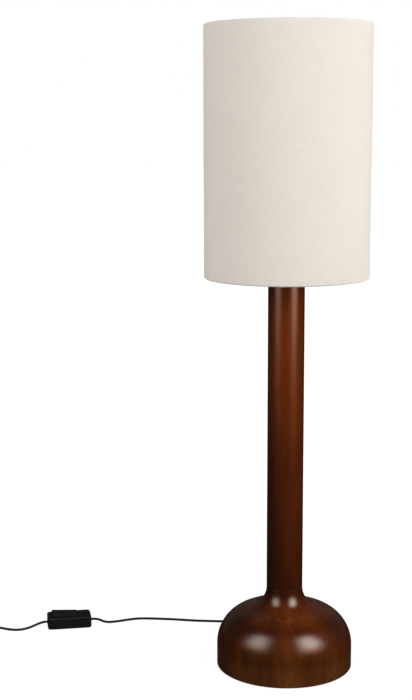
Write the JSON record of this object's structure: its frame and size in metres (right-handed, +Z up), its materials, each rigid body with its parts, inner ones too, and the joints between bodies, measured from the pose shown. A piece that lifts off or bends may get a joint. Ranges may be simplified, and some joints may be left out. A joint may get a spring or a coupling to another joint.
{
  "type": "floor lamp",
  "caption": "Floor lamp with a turned wooden dome base and thick column, a tall linen drum shade, and a black lead with rocker switch, coil and flat plug.",
  "frame": {"origin": "on the floor under the middle of the base", "axes": "+Z up along the column, -Y towards the front, the lead leaves at the back (+Y)"},
  "size_m": [0.8447, 0.3723, 1.183],
  "materials": {
    "walnut_lacquer": "satin dark walnut lacquer",
    "cast_iron": "as cast",
    "zinc_steel": "zinc plated",
    "hardboard": "raw hardboard",
    "felt": "felt",
    "black_plastic": "moulded black",
    "black_lead": "soft PVC, satin black",
    "ceramic": "glazed white",
    "brass": "bare brass",
    "nickel_shell": "nickel plated",
    "opal_plastic": "white",
    "opal_glass": "opal",
    "linen": "off-white plain weave",
    "lining": "white translucent sheet",
    "white_wire": "white powder coat"
  },
  "bodies": {
    "lamp": {"base_dome": "walnut_lacquer", "column": "walnut_lacquer", "cast_weight": "cast_iron", "weight_screws": "zinc_steel", "bottom_board": "hardboard", "board_screws": "zinc_steel", "felt_pad": "felt", "tie_rod": "zinc_steel", "foot_washer": "zinc_steel", "foot_nut": "zinc_steel", "top_disc": "zinc_steel", "top_nut": "zinc_steel", "holder_cap": "black_plastic", "holder_sleeve": "black_plastic", "holder_core": "ceramic", "holder_thread": "brass", "holder_contact": "brass", "shade_clamp_ring": "black_plastic", "bulb_contact": "brass", "bulb_screw_shell": "nickel_shell", "bulb_collar": "opal_plastic", "bulb_globe": "opal_glass", "shade_linen": "linen", "shade_lining": "lining", "shade_top_wire": "white_wire", "shade_fitter": "white_wire", "bend_relief": "black_plastic", "lead_stop": "black_plastic", "inner_lead": "black_lead", "lead_to_switch": "black_lead", "lead_to_coil": "black_lead", "lead_coil": "black_lead", "coil_tie": "black_plastic", "switch_base": "black_plastic", "switch_cover": "black_plastic", "switch_screws": "zinc_steel", "switch_clamps": "black_plastic", "switch_poles": "brass", "plug_body": "black_plastic", "plug_pins": "nickel_shell", "pin_sleeves": "black_plastic"},
    "rocker": {"switch_rocker": "black_plastic"}
  },
  "joints": [
    {"name": "rocker_press", "type": "hinge", "parent": "lamp", "child": "rocker", "pos_m": [-0.44677, 0.17898, 0.0185], "axis": [0.225, -0.9744, 0], "range_deg": [0, 6]}
  ]
}
